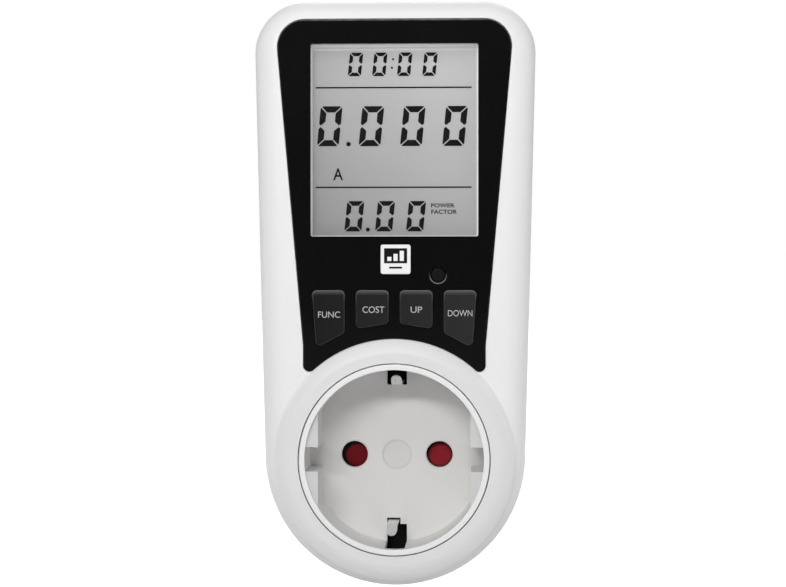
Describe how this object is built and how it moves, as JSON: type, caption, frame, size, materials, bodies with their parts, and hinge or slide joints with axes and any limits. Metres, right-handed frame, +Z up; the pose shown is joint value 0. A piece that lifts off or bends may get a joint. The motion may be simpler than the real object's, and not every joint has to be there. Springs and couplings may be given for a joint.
{
  "type": "plug-in energy meter",
  "caption": "Plug-in energy meter: white housing with an earthed socket, black fascia with display, press keys and a reset button, and an earthed plug on its back.",
  "frame": {"origin": "on the axis shared by the plug and the socket, in the plane of the flat back that meets the wall", "axes": "+X to the right seen from the front, +Y from the front towards the wall, along the plug pins, +Z up"},
  "size_m": [0.0614, 0.077, 0.1276],
  "materials": {
    "shell_white": "fine satin moulded plastic",
    "socket_white": "smooth moulded plastic",
    "fascia_black": "high gloss",
    "window_clear": "clear polished",
    "badge_white": "printed gloss",
    "lcd_glass": "clear",
    "lcd_grey": "silver grey reflector",
    "frame_white": "moulded",
    "rubber_black": "matte",
    "key_grey": "fine satin",
    "button_black": "gloss",
    "switch_black": "moulded",
    "plunger_tan": "moulded",
    "board_green": "solder mask over glass laminate",
    "screw_steel": "zinc plated",
    "chip_black": "moulded epoxy",
    "can_metal": "bright can",
    "battery_sleeve": "shrink sleeve",
    "link_black": "moulded",
    "link_gold": "gold flash",
    "capacitor_yellow": "potted box",
    "capacitor_sleeve": "shrink sleeve",
    "varistor_blue": "dipped epoxy",
    "resistor_grey": "ceramic coat",
    "shunt_metal": "resistance alloy",
    "shutter_red": "smooth moulded plastic",
    "spring_steel": "bright wire",
    "carrier_black": "moulded thermoset",
    "contact_brass": "stamped",
    "steel_black": "black oxide",
    "clip_nickel": "nickel plated spring strip",
    "pin_nickel": "nickel plated brass",
    "wire_brown": "PVC insulation",
    "wire_blue": "PVC insulation"
  },
  "bodies": {
    "housing": {"front_cover": "shell_white", "rear_cover": "shell_white", "plug_base": "shell_white", "housing_screws": "screw_steel", "fascia": "fascia_black", "display_window": "window_clear", "badge": "badge_white", "lcd_front_glass": "lcd_glass", "lcd_rear_glass": "lcd_glass", "lcd_reflector": "lcd_grey", "lcd_frame": "frame_white", "zebra_strips": "rubber_black", "key_switches": "switch_black", "display_board": "board_green", "display_board_screws": "screw_steel", "controller_chip": "chip_black", "crystal": "can_metal", "backup_battery": "battery_sleeve", "link_header": "link_black", "link_socket": "link_black", "link_pins": "link_gold", "power_board": "board_green", "power_board_screws": "screw_steel", "mains_capacitor": "capacitor_yellow", "electrolytic_capacitor": "capacitor_sleeve", "varistor": "varistor_blue", "fuse_resistor": "resistor_grey", "metering_chip": "chip_black", "shunt_resistor": "shunt_metal", "socket_insert": "socket_white", "insert_screws": "screw_steel", "shutter_spring": "spring_steel", "contact_carrier": "carrier_black", "carrier_screws": "screw_steel", "live_contact": "contact_brass", "neutral_contact": "contact_brass", "earth_frame": "steel_black", "plug_earth_contacts": "clip_nickel", "live_pin": "pin_nickel", "neutral_pin": "pin_nickel", "pin_retainer": "carrier_black", "retainer_screws": "screw_steel", "neutral_strap": "contact_brass", "live_in_wire": "wire_brown", "live_out_wire": "wire_brown", "neutral_wire": "wire_blue"},
    "func_key": {"func_key": "key_grey", "func_plunger": "plunger_tan"},
    "cost_key": {"cost_key": "key_grey", "cost_plunger": "plunger_tan"},
    "up_key": {"up_key": "key_grey", "up_plunger": "plunger_tan"},
    "down_key": {"down_key": "key_grey", "down_plunger": "plunger_tan"},
    "reset_button": {"reset_button": "button_black", "reset_plunger": "plunger_tan"},
    "shutter": {"shutter": "shutter_red"},
    "earth_clip_top": {"earth_clip_top": "clip_nickel"},
    "earth_clip_bottom": {"earth_clip_bottom": "clip_nickel"}
  },
  "joints": [
    {"name": "func_press", "type": "slide", "parent": "housing", "child": "func_key", "axis": [0, 1, 0], "range_m": [0, 0.0004], "stiffness_N_per_m": 800, "springref_m": -0.0005},
    {"name": "cost_press", "type": "slide", "parent": "housing", "child": "cost_key", "axis": [0, 1, 0], "range_m": [0, 0.0004], "stiffness_N_per_m": 800, "springref_m": -0.0005},
    {"name": "up_press", "type": "slide", "parent": "housing", "child": "up_key", "axis": [0, 1, 0], "range_m": [0, 0.0004], "stiffness_N_per_m": 800, "springref_m": -0.0005},
    {"name": "down_press", "type": "slide", "parent": "housing", "child": "down_key", "axis": [0, 1, 0], "range_m": [0, 0.0004], "stiffness_N_per_m": 800, "springref_m": -0.0005},
    {"name": "reset_press", "type": "slide", "parent": "housing", "child": "reset_button", "axis": [0, 1, 0], "range_m": [0, 0.0004], "stiffness_N_per_m": 800, "springref_m": -0.0005},
    {"name": "shutter_turn", "type": "hinge", "parent": "housing", "child": "shutter", "pos_m": [0, -0.02045, 0], "axis": [0, 1, 0], "range_deg": [0, 42], "stiffness_Nm_per_rad": 0.01, "springref_deg": -17.19},
    {"name": "top_clip_flex", "type": "hinge", "parent": "housing", "child": "earth_clip_top", "pos_m": [0.0003, -0.0198, 0.01625], "axis": [-1, 0, 0], "range_deg": [0, 6], "stiffness_Nm_per_rad": 0.6, "springref_deg": -2.86},
    {"name": "bottom_clip_flex", "type": "hinge", "parent": "housing", "child": "earth_clip_bottom", "pos_m": [-0.0008, -0.0198, -0.01485], "axis": [1, 0, 0], "range_deg": [0, 6], "stiffness_Nm_per_rad": 0.6, "springref_deg": -2.86}
  ]
}
